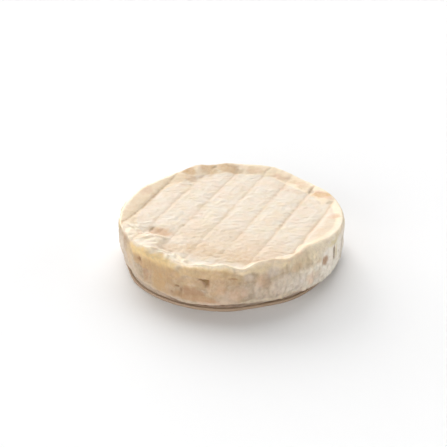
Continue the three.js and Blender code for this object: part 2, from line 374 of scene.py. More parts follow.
def section_outside(t, rim):
    """Radius and height outside the crest, at t from 0 to 3: the shoulder, the side and the undercut."""
    swing = np.clip(t, 0, 1) * math.pi / 2
    reach, drop = rim["belly"] - rim["crest"], rim["height"] - BELLY_HEIGHT
    power = np.clip(reach**2 / (LIP_ROUND * drop), *SHOULDER_POWERS)
    radius = rim["crest"] + reach * np.sin(swing)
    height = BELLY_HEIGHT + drop * np.abs(np.cos(swing)) ** power
    slope = np.clip(t / CHAMFER_SHARE, 0, 1)
    chamfer_radius = rim["crest"] + (rim["belly"] - rim["crest"]) * slope
    edge_height = rim["height"] - CHAMFER_DROP * slope
    below = np.clip((t - CHAMFER_SHARE) / (1 - CHAMFER_SHARE), 0, 1)
    chamfer_height = edge_height + (BELLY_HEIGHT - edge_height) * below
    radius = radius + (chamfer_radius - radius) * rim["chamfer"]
    height = height + (chamfer_height - height) * rim["chamfer"]
    down = np.clip(t - 1, 0, 1)
    radius = radius + (rim["lower"] - rim["belly"]) * down**2
    height = height + (rim["lower_height"] - BELLY_HEIGHT) * down
    under = np.clip(t - 2, 0, 1)
    radius = radius + (rim["underside"] - rim["lower"]) * under**UNDERCUT_POWER
    height = height + (CARD_THICKNESS - rim["lower_height"]) * under
    return radius, height


steps = np.linspace(0, 3, 301)
plain_rim = {size: value[0] for size, value in rim_at(np.array([200.0])).items()}
plain_section = section_outside(steps, plain_rim)
lengths = np.concatenate([[0], np.cumsum(np.hypot(np.diff(plain_section[0]), np.diff(plain_section[1])))])
print("section outside the crest:", lengths[-1].round(1), "mm")

# %% [markdown]
# ## From the blank to the wheel
#
# The top's points take their radius from the crest at their angle. The side's points are spread evenly along
# the section: the lengths just measured turn even steps down the blank into even steps along the curve.

# %% Bend the blank
along_section = np.interp(-blank[:, 2] * lengths[-1], lengths, steps)

radius = np.where(on_side, section_outside(along_section, rim)[0], blank_radius * rim["crest"])
x = radius * np.cos(np.radians(angle))
y = radius * np.sin(np.radians(angle))
z = np.where(on_side, section_outside(along_section, rim)[1], top_height(x, y, rim))
put_points(wheel.data, np.stack([x, y, z], axis=1))
from_crest = np.where(on_side, np.interp(along_section, steps, lengths), radius - rim["crest"])
print("the plain wheel is", z.max().round(2), "mm high")

# %% [markdown]
# ## Mat lines and the strips between them
#
# The reeds of the draining mat left a soft groove every 17 mm, and the curd between two grooves bulges a
# little. Each groove is painted amber, partly the rind's own tint and partly painted shade. Grooves could be
# cut with a knife tool, but real ones waver and fade. So each point of the top asks how far it is from a
# line that wanders slightly, and sinks by a bell curve.

# %% Mat lines and bulging strips
MAT_LINE_HALF = 1.25
MAT_LINE_DEPTHS = (0.26, 0.13, 0.14, 0.15, 0.15, 0.18, 0.2)
# amber in each groove, partly the rind's tint and partly painted shade
MAT_LINE_TINTS_AND_SHADE = (0.6, 0.25, 0.25, 0.25, 0.3, 0.35, 0.4)
STRIP_BULGE = 0.25
OUTER_STRIPS = (-69, 66)

climb = climb_at(x, y, rim)
flat = 1 - ease(climb, 0.05, 0.7)
on_top = (x, y, z * 0)
wander = 0.6 * rough((y, x * 0, x * 0), 22, 5) + 0.2 * rough(on_top, 4, 9)
line_depth = np.zeros(len(x))
line_tint_and_shade = np.zeros(len(x))
for number, (line, depth, tint) in enumerate(zip(MAT_LINES, MAT_LINE_DEPTHS, MAT_LINE_TINTS_AND_SHADE)):
    fading = 1 + 0.9 * rough((y, y * 0 + number * 7, y * 0), 9, 2)
    groove = bell(x - line - wander, MAT_LINE_HALF)
    line_depth = np.maximum(line_depth, depth * fading * groove)
    line_tint_and_shade = np.maximum(line_tint_and_shade, tint * groove)

edges = np.array((OUTER_STRIPS[0],) + MAT_LINES + (OUTER_STRIPS[1],))
left_edge = edges[np.clip(np.searchsorted(edges, x) - 1, 0, len(edges) - 2)]
right_edge = edges[np.clip(np.searchsorted(edges, x), 1, len(edges) - 1)]
across_strip = (x - left_edge) / (right_edge - left_edge)
bulge = STRIP_BULGE * (1 - (2 * across_strip - 1) ** 2) * flat
print("deepest mat line:", line_depth.max().round(2), "mm")

# %% [markdown]
# ## Wrinkles and pocks
#
# The rind dried into fine wrinkles that run across the lines, 2 mm apart, with a few pocks a fingernail's
# thickness deep. They are stretched noise: 4.6 mm long, 2.1 mm wide, turned by 14 degrees, and bent by
# noise of 7 mm so that no two run parallel. The folded rim at the front left gets its own coarser lumps.

# %% Wrinkles and pocks
WRINKLE = (4.6, 2.1, 3)
WRINKLE_TURN = math.radians(14)
POCK_DEPTH = 0.2

turned = (
    x * math.cos(WRINKLE_TURN) + y * math.sin(WRINKLE_TURN),
    y * math.cos(WRINKLE_TURN) - x * math.sin(WRINKLE_TURN),
    z * 0,
)
bent = (turned[0], turned[1] + 2.2 * rough(on_top, 7, 61), z * 0)
wrinkles = 0.27 * rough(bent, WRINKLE, 11) + 0.2 * rough(on_top, 2.3, 15)
wrinkles = wrinkles * (0.95 - 0.002 * x) + 0.4 * rough(on_top, 11, 19)
wrinkles = wrinkles - POCK_DEPTH * ease(rough(on_top, 2.1, 71), 0.36, 0.62)
folded = ease(angle, -150, -138) * (1 - ease(angle, -98, -88)) * ease(np.hypot(x, y), 50, 56)
wrinkles = wrinkles + folded * 0.9 * rough(on_top, 3.2, 23)
print("wrinkles from", wrinkles[~on_side].min().round(2), "to", wrinkles[~on_side].max().round(2), "mm")

# %% [markdown]
# ## The folded ledge, dents and the lip
#
# At the front left the rind was folded in while it was soft, and left ridges that run along the fold. Each
# ridge is a short path, and the points near it rise. The dents at the rim are small pressed spots. Along the
# front the crest has a lip of its own, 3 mm wide, where the rind turned over the mould's edge.

# %% Ridges, dents and lip
RIDGES = (
    # rise, half width, then the points (x, y) that it runs through
    (0.75, 1.5, ((-53.3, -36.3), (-48.4, -36.7), (-44.4, -37.2), (-39.3, -39.1), (-35, -41.2), (-31, -42))),
    (0.7, 1.4, ((-36, -50.5), (-31.2, -45), (-27, -42), (-22.5, -42.2))),
    (1.1, 1.6, ((-22.5, -57.2), (-17.3, -55.4), (-13.7, -55.2), (-9, -56.2), (-4.8, -57.6), (-0.4, -60))),
)
DENTS = (
    # x, y, half length, half width, rise
    (33, 48, 1.6, 4, -0.6), (48.8, 37.5, 1.8, 2.6, -0.25), (16.8, -51.3, 2.4, 1.4, -0.4),
    (-35, -33, 1.4, 3, -0.3), (-38.5, 26, 5, 1, -0.4), (-37, -47.5, 1, 4, -0.3), (-35, 51, 1.2, 3, -0.3),
    (-12, -56, 5, 1.6, -0.4),
)
LIP_RISE = 0.35


def far_from_path(x, y, path):
    """The distance of each point to the nearest stretch of a path."""
    nearest = np.full(len(x), np.inf)
    for (x0, y0), (x1, y1) in zip(path, path[1:]):
        length = math.hypot(x1 - x0, y1 - y0)
        share = np.clip(((x - x0) * (x1 - x0) + (y - y0) * (y1 - y0)) / length**2, 0, 1)
        nearest = np.minimum(nearest, np.hypot(x - x0 - share * (x1 - x0), y - y0 - share * (y1 - y0)))
    return nearest


jog = (1.2 * rough(on_top, 3.5, 27), 1.2 * rough(on_top, 3.5, 29))
ridge = np.zeros(len(x))
for rise, half, path in RIDGES:
    ridge = np.maximum(ridge, rise * bell(far_from_path(x + jog[0], y + jog[1], path), half))
dents = sum(mound(x, y, *dent) for dent in DENTS)
front_lip = LIP_RISE * bell(from_crest + 0.5, 1.6) * (1 - ease(np.abs(turn_from(angle, -78)), 30, 48))
relief = wrinkles * (0.5 + 0.5 * flat) + ridge + dents - line_depth * (1 - 0.5 * climb) + front_lip
z = z + bulge + relief * ~on_side
put_points(wheel.data, np.stack([x, y, z], axis=1))
print("the top now reaches", z.max().round(2), "mm")

# %% [markdown]
# ## The side's crust
#
# The side is a skin that shrank as it dried, under a crust of mould as lumpy as orange peel, except where
# the mould's wall pressed it smooth. Whatever is added here pushes a point out or in along the surface's
# own normal, so that it also works round the shoulder. The crust is noise of three sizes on top of each
# other: 1.7, 3.6 and 11 mm.

# %% Crust and smooth patches
SMOOTH_PATCHES = (
    # angle, height, half width, half height
    (-103.5, 15, 6.8, 12), (-84.5, 11, 7.2, 4.4), (84, 12, 5, 6), (158, 12, 6, 5),
)


def arc(at):
    """How far each point is round the side from an angle, in mm."""
    return np.radians(turn_from(angle, at)) * BELLY_RADIUS


def hole(distance, softness=0.35):
    """1 well inside distance 1, 0 well outside, with a quick slope between."""
    return 1 - ease(distance, 1 - softness, 1 + softness)


normals = np.empty(len(blank) * 3)
wheel.data.vertices.foreach_get("normal", normals)
normals = normals.reshape(-1, 3)
side = np.where(on_side, ease(along_section, 0.25, 0.7), 0)
seen_side = side * (1 - ease(along_section, 2.0, 2.3))
body = (x, y, z)
jitter = (0.9 * rough(body, 3, 81), 0.9 * rough(body, 3, 87))
smooth = np.zeros(len(x))
for at, height, half_width, half_height in SMOOTH_PATCHES:
    far = np.hypot((arc(at) + jitter[0]) / half_width, (z - height + jitter[1]) / half_height)
    smooth = np.maximum(smooth, hole(far) * seen_side)
crust = 0.35 * rough(body, 1.7, 91) + 0.7 * rough(body, 3.6, 95) + 0.9 * rough(body, 11, 99)
crust = crust * (1 - 0.6 * ease(along_section, 1.75, 2))
crust = crust * (1 - 0.3 * to_back)
crust = crust * (1 - 0.3 * ease(angle, -45, -15) * (1 - ease(angle, 25, 60)))
push = crust * side * (1 - 0.75 * smooth) - 0.35 * smooth
print("crust from", push.min().round(2), "to", push.max().round(2), "mm")

# %% [markdown]
# ## Folds down the side
#
# Where the skin had too much room it stands in upright folds, and where it was pinched it has creases. Each
# is a bell curve across the side at one angle, between two heights, and noise of 6 mm makes it waver. The
# chamfer at the front left keeps a sharper edge, the right is finely pleated, and the lower edge has a bead.

# %% Folds, pleats, the chamfer's edge and the lower bead
FOLDS = (
    # angle, half width in mm, lowest, highest, push
    (-113.5, 1.1, 8, 23, 0.9), (-110, 1.1, 6, 24, -0.7), (-98.5, 1.0, 7, 20, 0.6),
    (-45.5, 0.8, 8, 19, -0.7), (-43.3, 1.2, 8, 20, 0.4), (-29, 1.0, 8, 24, -0.5), (-22, 1.4, 7, 22, 0.5),
    (-6, 1.3, 9, 25, 0.8), (3.2, 1.2, 9, 25, 0.8), (-90.3, 0.7, 7, 15, -0.7), (-54, 0.9, 8, 20, -0.4),
    (38, 1.1, 8, 23, 0.7), (41, 1.0, 8, 22, -0.5), (78, 1.0, 7, 20, -0.6), (104, 1.2, 8, 23, 0.7),
    (106.5, 1.0, 8, 22, -0.5), (146, 1.1, 8, 24, 0.6), (172, 1.0, 7, 20, -0.6), (-160, 1.1, 8, 22, 0.5),
)

chamfer_edge = bell(along_section - CHAMFER_SHARE, 0.09)
chamfer_edge = chamfer_edge * (1 - ease(np.abs(turn_from(angle, CHAMFER_AT)), 13, 20))
push = push + 0.4 * chamfer_edge * on_side
for at, half, low, high, amount in FOLDS:
    span = ease(z, low - 2, low + 2) * (1 - ease(z, high - 2, high + 2))
    push = push + amount * span * bell(arc(at) + 1.6 * rough(body, 6, at), half) * seen_side
on_right = ease(angle, -52, -36) * (1 - ease(angle, -6, 6))
pleats = rough((arc(-30), z, z * 0), (1.5, 9, 1), 113)
layers = rough((angle * 1.1, z, angle * 0), (9, 0.9, 1), 7)
push = push + 0.5 * on_right * pleats * seen_side
push = push + ease(along_section, 2.1, 2.3) * 0.3 * layers
push = push + LIP_RISE * bell(along_section - 1.95, 0.06) * on_side
print("folds and creases:", len(FOLDS))

# %% [markdown]
# ## Holes where the skin broke
#
# A few small holes and one wedge-shaped tear go 1 mm into the paste. A boolean could cut them, but the rind
# sinks into them with soft edges. So their points are pushed in, and how deep each point lies in a hole is
# kept, because the holes are stained darker there: the torn rind's own brown, with painted shade over it.

# %% Holes
PITS = (
    # angle, height, half width, half height, depth, painted shade, whether it is a wedge with its point down
    # right
    (-78.6, 18.4, 3.1, 2.0, 1.4, 1, True), (-117.6, 20, 1.8, 1.0, 0.8, 0.8, False),
    (-92.5, 13.5, 1.5, 0.8, 0.7, 0.8, False), (-95.5, 9, 1.0, 0.8, 0.5, 0.6, False),
    (-64.5, 22, 2.6, 0.5, 0.6, 0.6, False), (-10.8, 18, 3.4, 2.7, 0.5, 0.4, False),
    (-2, 19, 1.2, 5, 1.2, 0.8, False), (68, 17, 2.2, 1.2, 0.9, 0.7, False),
    (122, 19, 2.8, 1.8, 1.2, 0.9, True), (152, 10, 1.5, 0.8, 0.7, 0.7, False),
    (-172, 18, 1.4, 0.9, 0.7, 0.6, False),
)


def pit_distance(wedge, at, height, half_width, half_height):
    """0 in the pit's middle and 1 at its edge, which is an oval or a wedge with its point down."""
    across = (arc(at) + 0.4 * jitter[0]) / half_width
    up = (z - height + 0.4 * jitter[1]) / half_height
    slant = 1 - 1.1 * (across + 1) - 0.9 * (up - 1)
    return np.maximum(np.maximum(up, across), slant) if wedge else np.hypot(across, up)


pit_shade = np.zeros(len(x))
for *where, depth, shade, wedge in PITS:
    reach = pit_distance(wedge, *where)
    push = push - depth * hole(reach) * on_side
    pit_shade = np.maximum(pit_shade, shade * hole(reach, 0.25) * on_side)
points = np.stack([x, y, z], axis=1) + normals * push[:, None]
points[:, 2] = np.maximum(points[:, 2], CARD_THICKNESS)
print("deepest point of a hole:", push.min().round(2), "mm")

# %% [markdown]
# ## Where the rind is stained
#
# A rind is one cream colour that was stained in many ways: amber where whey dried, yellow below the crest,
# brown where the mould's wall pressed it, grey-white where a fresh bloom grew. Over them lie painted shade,
# darker in every fold, hole and dent, and painted light, paler on the crest, the ridges and the back wall.
# One could paint them with a brush in texture paint. Here each stain is one number per point, from 0 to
# 1, laid on in short lists of soft-edged ovals, so that a list can be read and a spot moved. First the top,
# by x, y.

# %% Stains on the top
TOP_STAINS = {
    # x, y, half length along x, half width along y, strength
    "amber": (
        (-43, 33, 8, 3.5, 0.5), (-35, 47, 3, 6, 0.5), (-47, 40, 6, 5, 0.75), (-26, 54, 10, 4.5, 0.6),
        (-37, 48, 7, 5, 0.6), (-41, 24, 6, 3, 0.3), (-9, 59.5, 8, 3, 0.4), (7, 58.5, 9, 3, 0.3),
        (19, 56, 6, 2.4, 0.45), (41, 45, 8, 4.5, 0.85), (25, 52, 5, 2, 0.35), (58, 22, 3, 3, 0.5),
        (25, -42, 18, 9, 0.45), (2, -44, 14, 9, 0.45), (-12, -48, 10, 6, 0.35), (10, -30, 40, 18, 0.22),
        (40, -32, 8, 8, 0.25), (-29, -34, 9, 4.5, 0.6), (57, -4, 5, 28, 0.3), (-13, -50, 9, 3, 0.35),
        (-36, -47, 5, 2.5, 0.3), (-55, -25, 4, 9, 0.25),
    ),
    "brown_and_shade": (
        (-24, 56.5, 6, 2.2, 0.3), (-17, 56, 2, 2.5, 0.3), (-2, 60.5, 1.5, 2.5, 0.3),
        (14, 58.5, 2.5, 1.2, 0.2), (32, 51, 1.5, 3, 0.35), (38, 48, 2.5, 1, 0.3), (-48, 41, 2, 2, 0.3),
    ),
    "rose": (
        (-28, -34, 9, 4, 0.25), (-40, -42, 5, 2, 0.2), (24, 54, 5, 2.5, 0.35), (20, 45, 8, 3, 0.2),
        (38, 48, 4, 2, 0.6), (57, 22, 3, 4, 0.35), (9, 57.5, 5, 2.5, 0.4), (-9, 58, 6, 2, 0.2),
        (-59, 6, 3, 6, 0.4), (45, 42, 4, 2, 0.5),
    ),
    # painted shade in the dents and creases of the top
    "crevice_shade": (
        (-35, -33, 1.2, 3, 0.6), (-37, -31, 2.2, 1.4, 0.4), (33, 48.5, 1.0, 3.6, 0.4),
        (48.8, 37.5, 1.8, 2.4, 0.4), (-34.8, 51, 1, 2.8, 0.5), (-38.5, 26.3, 4.5, 0.7, 0.35),
        (-43, 25, 3, 0.7, 0.25), (16.8, -51.3, 2.4, 1.3, 0.3), (-0.7, 62, 0.8, 2, 0.3),
        (-47.5, 36, 3, 1, 0.25), (-12, -56, 5, 1.2, 0.3),
    ),
    # pale cream, partly painted light on the folded ledge
    "lip": (
        (-50, 31, 2.5, 3, 0.7), (-35, 54, 2, 2, 0.5), (-42, -45, 12, 6, 0.6), (-27, -46, 10, 5, 0.5),
    ),
}
print("spots on the top:", sum(len(spots) for spots in TOP_STAINS.values()))

# %% [markdown]
# ## Stains along the rim
#
# Some stains follow the rim all round or for part of it: the rubbed crest is paler, and painted light makes
# it paler still and also lights the wall inside the crest at the back, the right just below the crest and a
# thin line along the lower edge. Whey ran down below the crest and dried yellow and ochre, and a white bloom
# covers the right of the side, partly painted light there. A band of bloom lightens the undercut all round,
# also partly painted light, and an ochre and a brown band darken the side just above the lower edge in
# front. They are bands, each between two angles and between two distances outside the crest, measured
# along the section.

# %% Bands along the rim
RIM_STAINS = {
    # first angle, last angle, nearest and farthest outside the crest in mm, strength
    # pale crest and painted light: the back wall, the right below the crest, a line along the lower edge
    "lip": (
        (-95, -62, -2.2, 2.5, 0.9), (-64, -36, -2.2, 3.4, 0.6), (-38, -20, -4, 8, 0.5),
        (-24, 40, -4, 8, 0.8), (-140, -92, -2.4, 1.5, 0.5), (40, 140, -9, 2, 0.9),
        (140, 220, -9, 2, 0.9), (-60, 180, 22.6, 23.9, 0.45), (-180, -60, 22.9, 23.9, 0.2),
    ),
    "yellow": (
        (-127, -92, 0.6, 3.6, 0.7), (-92, -62, 1.6, 4, 0.4), (-92, -62, 1.2, 8, 0.2),
        (-62, -36, 1.4, 3.4, 0.3), (-36, -15, 1, 4, 0.15), (45, 215, 1.6, 5, 0.4),
    ),
    # the last ochre band and the brown band darken the side just above the lower edge in front
    "ochre": ((-124, -92, 3.2, 8.5, 0.6), (-92, -62, 3.4, 9, 0.3), (-98, -70, 18.8, 22.8, 0.4)),
    "brown_and_shade": ((-98, -72, 19, 22.8, 0.35),),
    "amber": ((40, 140, -8.5, -0.7, 0.2), (140, 215, -9, -0.7, 0.35), (-50, -18, -5, 0.8, 0.35)),
    # the first bloom band lightens the undercut all round, partly painted light
    "bloom": ((-180, 180, 23.9, 40, 0.5), (15, 70, 3, 23, 0.4), (60, 215, 5, 22, 0.2)),
    # white bloom on the right of the side, partly painted light
    "white": ((-28, 12, 6, 24, 0.7), (-14, 10, 3, 26, 1.0), (2, 30, 6, 23, 0.5), (-42, -26, 8, 23, 0.3)),
}
print("bands along the rim:", sum(len(bands) for bands in RIM_STAINS.values()))

# %% [markdown]
# ## Stains on the side
#
# The rest of the side is patchy: smooth amber and brown where it touched the mould's wall, rosy where the
# skin is thin, grey-white where the bloom is thick, and white on the right, partly painted light. The narrow
# brown spots along the folds and at the holes are painted shade. The back isn't less patchy than the front.

# %% Stains on the side
SIDE_STAINS = {
    # angle, height, half width, half height, strength
    "ochre": (
        (-104, 13, 5.6, 11, 0.7), (-101.5, 13, 10.5, 12, 0.55), (-70, 21, 14, 4, 0.35),
        (-84, 17, 14, 4, 0.35), (-90, 16, 8, 4, 0.35), (-31, 23, 5, 3, 0.4), (-16, 19.5, 2.5, 2, 0.4),
        (-70, 13, 7, 5, 0.3), (62, 20, 12, 4, 0.4), (84, 12, 6, 8, 0.6), (112, 18, 9, 6, 0.45),
        (140, 21, 14, 4, 0.4), (160, 10, 9, 6, 0.5), (-172, 20, 12, 4, 0.4), (28, 21, 9, 3, 0.4),
    ),
    # brown patches, with painted shade along the folds and at the holes
    "brown_and_shade": (
        (-87.4, 11.2, 3.2, 3.6, 0.75), (-84.2, 11.2, 3.4, 3.2, 0.75), (-80.6, 11, 3, 1.7, 0.7),
        (-90.4, 10, 0.6, 4, 0.6), (-112.5, 13, 1.8, 4.5, 0.45), (-114, 9, 1.2, 3, 0.35),
        (-46, 16, 1, 4, 0.2), (-115.6, 19.3, 2, 1, 0.4), (-11, 18, 3.2, 2.5, 0.5),
        (118, 9, 3, 3, 0.4), (158, 12, 4.5, 3.6, 0.6), (-178, 16, 1.6, 4, 0.35),
    ),
    # painted shade at the wedge's upper edge, in the slit and in a crease
    "crevice_shade": ((-79.5, 19.9, 2.4, 0.6, 0.7), (-1.8, 19, 1.2, 5, 0.9), (-90.3, 9.5, 0.4, 3.6, 0.3)),
    "bloom": (
        (-55, 13, 9, 6, 0.3), (-48, 10, 8, 5, 0.4), (-40, 14, 10, 7, 0.45), (-31, 12, 9, 7, 0.65),
        (-66, 10, 6, 5, 0.35), (-71, 8, 3, 3, 0.3), (-97, 10, 3.5, 4, 0.2),
        (-127, 11, 12, 9, 0.3), (-140, 14, 10, 12, 0.6), (-84.5, 15.8, 4.5, 0.5, 0.35),
        (-78.5, 13.4, 2, 0.5, 0.35), (-52, 14, 3, 5, 0.5),
        (-44, 24, 5, 3.5, 0.6), (-57, 22.5, 4, 2.5, 0.4), (54, 12, 14, 9, 0.6), (74, 12, 9, 6, 0.5),
        (98, 15, 10, 9, 0.6), (128, 10, 10, 7, 0.6), (150, 17, 10, 6, 0.5), (176, 11, 11, 8, 0.6),
        (-160, 14, 9, 9, 0.5),
    ),
    "rose": (
        (-80, 6.5, 18, 1.6, 0.3), (-62, 12, 6, 5, 0.35), (-50, 19, 4, 5, 0.3), (-18, 12, 3, 3, 0.2),
        (-22, 12, 2.5, 5, 0.35), (-70, 15, 4, 3, 0.3), (-11, 18, 3.4, 2.6, 0.7), (66, 8, 12, 3, 0.3),
        (134, 15, 7, 5, 0.35), (168, 15, 6, 5, 0.3), (-150, 12, 6, 5, 0.25), (100, 7, 9, 2, 0.3),
        (24, 11, 3, 5, 0.4), (40, 16, 4, 6, 0.4),
    ),
    # white bloom, partly painted light on the right
    "white": ((16, 13, 8, 8, 0.8), (30, 18, 7, 4, 0.6), (34, 9, 6, 3, 0.5), (130, 17, 5, 4, 0.4)),
    "straw": ((0.8, 18.5, 1, 5.2, 0.7), (-3, 25.6, 6, 1.8, 0.6)),
    "yellow": ((-22, 13, 4, 7, 0.3), (-14, 13, 3, 2, 0.25), (-128, 18, 4, 8, 0.25), (46, 20, 8, 4, 0.3)),
}
print("spots on the side:", sum(len(spots) for spots in SIDE_STAINS.values()))

# %% [markdown]
# ## Laying the stains
#
# Ovals and bands alone would look stencilled, so noise bends their edges by a millimetre or two. Then come
# the stains that follow the relief itself: a painted highlight on the ridges, brown and olive painted shade
# in the holes over the torn rind's brown, amber in the mat lines with painted shade in their middle, and
# painted shade under the lower edge, darkest just below it and strongest in front. The last number tells
# the side from the top. All are kept on the mesh as attributes, for the material to read.

# %% Lay the ovals and bands
STAINS = (
    "lip", "yellow", "amber", "ochre", "bloom", "white", "straw", "rose", "brown_and_shade", "crevice_shade", "underside",
)

bend = [1.8 * rough(body, 5, seed) + 0.9 * rough(body, 2, seed) for seed in (103, 107)]
outside = from_crest + 0.5 * bend[1]
stains = {}
for name in STAINS:
    amount = np.zeros(len(x))
    for at_x, at_y, half_x, half_y, strength in TOP_STAINS.get(name, ()):
        far = np.hypot((x - at_x + bend[0]) / half_x, (y - at_y + bend[1]) / half_y)
        amount = np.maximum(amount, strength * (1 - ease(far, 0.5, 1.3)) * ~on_side)
    for first, last, near, far_out, strength in RIM_STAINS.get(name, ()):
        middle = (first + last) / 2
        half = (last - first) / 2
        turn_in = 1 - ease(np.abs(turn_from(angle, middle)) + 3 * bend[0], half - 5, half + 5)
        band = ease(outside, near - 0.6, near + 0.6) * (1 - ease(outside, far_out - 0.9, far_out + 0.9))
        amount = np.maximum(amount, strength * band * (turn_in if half < 180 else 1))
    for at, height, half_width, half_height, strength in SIDE_STAINS.get(name, ()):
        far = np.hypot((arc(at) + 0.5 * bend[0]) / half_width, (z - height + 0.5 * bend[1]) / half_height)
        amount = np.maximum(amount, strength * (1 - ease(far, 0.45, 1.3)) * on_side)
    stains[name] = amount
print("laid:", ", ".join(name for name in STAINS if stains[name].max() > 0))

# %% Stains that follow the relief
# Painted shade under the lower edge, darkest just below it and strongest in front.
in_front = ease(angle, -102, -92) * (1 - ease(angle, -66, -48))
under_edge_shade = (0.25 + 0.5 * in_front) * (1.2 - 0.5 * (along_section - 2))
# Painted highlight along the ridges.
stains["lip"] = np.maximum(stains["lip"], 0.8 * ease(ridge, 0.2, 0.7) * ~on_side)
# Painted shade in the holes: brown over the torn rind, olive where they are deepest.
stains["brown_and_shade"] = np.maximum(stains["brown_and_shade"], pit_shade)
stains["crevice_shade"] = np.maximum(stains["crevice_shade"], pit_shade**2)
# Amber in the mat lines, partly the rind's tint and partly painted shade, with olive painted shade in the
# middle.
stains["amber"] = np.maximum(stains["amber"], 0.9 * line_tint_and_shade * ~on_side)
stains["crevice_shade"] = np.maximum(stains["crevice_shade"], 0.35 * line_tint_and_shade * ease(line_tint_and_shade, 0.3, 0.6) * ~on_side)
stains["underside"] = ease(along_section, 1.99, 2.03) * under_edge_shade
stains["side"] = ease(from_crest, -1, 3)
for name, amount in stains.items():
    attribute = wheel.data.attributes.new(name, "FLOAT", "POINT")
    attribute.data.foreach_set("value", amount.astype(np.float32))
print("stained share:", {name: round(float((amount > 0.1).mean()), 2) for name, amount in stains.items()})

# %% [markdown]
# ## Into the frame
#
# So far the wheel was shaped round its own axis, in millimetres. The frame is in metres, and its middle is
# the middle of the whole outline, so the points move over by the place of the axis. The object itself stays
# at the origin, unturned and unscaled, as the solids do.

# %% Move it into the frame, in metres
points[:, :2] += WHEEL_AXIS
put_points(wheel.data, points * MM)
deselect_all()
wheel.select_set(True)
bpy.context.view_layer.objects.active = wheel
bpy.ops.object.shade_smooth()
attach(wheel, "root")
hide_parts("cheese_wheel")
print("the wheel's box in mm:", points.min(axis=0).round(1), points.max(axis=0).round(1))

# %% [markdown]
# ## The card disc
#
# The real one is cut out of damp grey board, about 2 mm thick, with two straight cuts. A filled circle is
# bent to that outline first, because a flat shape is easier to bend than a cylinder. Then it is extruded to
# the board's thickness, and bevels round its edges: the upper one a little, and the lower one, worn by the
# shelf, so far that a thin shadow runs under it.

# %% The card's outline
CARD_POINTS = 360
CARD_RAGGED = 0.25

deselect_all()
bpy.ops.mesh.primitive_circle_add(vertices=CARD_POINTS, radius=1, fill_type="NGON")
card = bpy.context.object
card.name = card.data.name = "card"
circle = points_of(card.data)
card_turn = np.degrees(np.arctan2(circle[:, 1], circle[:, 0]))
ragged = CARD_RAGGED * rough((circle[:, 0] * CARD_RADIUS, circle[:, 1] * CARD_RADIUS, circle[:, 2]), 4, 131)
outline = circle * (card_edge(card_turn) + np.minimum(ragged, 0))[:, None]
outline[:, :2] += WHEEL_AXIS + CARD_OFFSET
put_points(card.data, outline * MM)
print("the card is", np.ptp(outline[:, 0]).round(1), "by", np.ptp(outline[:, 1]).round(1), "mm")

# %% Its thickness and its worn edges
WORN_EDGES = ((0, 0.7), (CARD_THICKNESS, 0.2))

bpy.ops.object.mode_set(mode="EDIT")
bpy.ops.mesh.select_all(action="SELECT")
bpy.ops.mesh.extrude_region_move(TRANSFORM_OT_translate={"value": (0, 0, CARD_THICKNESS * MM)})
bpy.ops.mesh.select_all(action="SELECT")
bpy.ops.mesh.normals_make_consistent(inside=False)
bpy.ops.mesh.select_mode(type="EDGE")
for level, width in WORN_EDGES:
    bpy.ops.object.mode_set(mode="OBJECT")
    heights = edge_heights(card.data) / MM
    bpy.ops.object.mode_set(mode="EDIT")
    select_edges(card.data, np.abs(heights - level).max(axis=1) < 0.01)
    bpy.ops.mesh.bevel(offset=width * MM, segments=3)
bpy.ops.object.mode_set(mode="OBJECT")
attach(card, "root")
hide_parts("card_disc")
print("the card has", len(card.data.polygons), "faces")

# %% [markdown]
# ## Colours and nodes
#
# Colours are written as they look on a screen, and one function turns them to linear light, which is what a
# shader reckons with. Nodes could be added by hand in the editor. In a script one small function adds any
# node with its settings and what feeds it, and everything below is made of such calls.

# %% One function for colours and one for nodes
def linear(colour):
    """A screen colour such as #ddd0be as linear light."""
    parts = [int(colour[i : i + 2], 16) / 255 for i in (1, 3, 5)]
    return tuple(c / 12.92 if c <= 0.04045 else ((c + 0.055) / 1.055) ** 2.4 for c in parts) + (1.0,)


def node(material, kind, settings=None, inputs=None):
    """Add a node: settings are its own fields, and inputs are values or sockets by name or number."""
    made = material.node_tree.nodes.new(kind)
    for field, value in (settings or {}).items():
        setattr(made, field, value)
    for name, value in (inputs or {}).items():
        if isinstance(value, bpy.types.NodeSocket):
            material.node_tree.links.new(value, made.inputs[name])
        else:
            made.inputs[name].default_value = value
    return made


print("amber as linear light:", [round(c, 3) for c in linear("#cfa673")])

# %% [markdown]
# ## The rind: bloomy cheese rind, dried on a mat and grown over with mould
#
# The skin of the curd is cream, dull and slightly see-through, and its mould adds a soft white bloom. It
# could be one colour with noise, but the eye reads it as cheese because the cream changes in patches of a
# centimetre, the side is browner than the top, and the whole is peppered with specks of 1 to 2 mm. The
# side's cream is also made darker than the top's, as painted shade. So the material starts with the two
# creams, and lays mottles over them.

# %% The rind's cream, from the top to the side, with its mottles
TOP_CREAM = "#e1d4c2"
# the side's browner cream, darker than the top's also as painted shade
SIDE_CREAM_AND_SHADE = "#a8947a"
MOTTLES = (
    # colour, size in mm, strength: pink and straw-coloured clouds about a centimetre wide
    ("#e6c9b0", 11, 0.35), ("#dcc8a0", 7, 0.3),
)
SIDE_MOTTLES = (
    # the crust's reddish, pale and grey specks, real ones 1 to 2.5 mm wide
    ("#b58f7c", 2.2, 0.35), ("#cbbba6", 2.4, 0.4), ("#94806a", 1.3, 0.35),
)

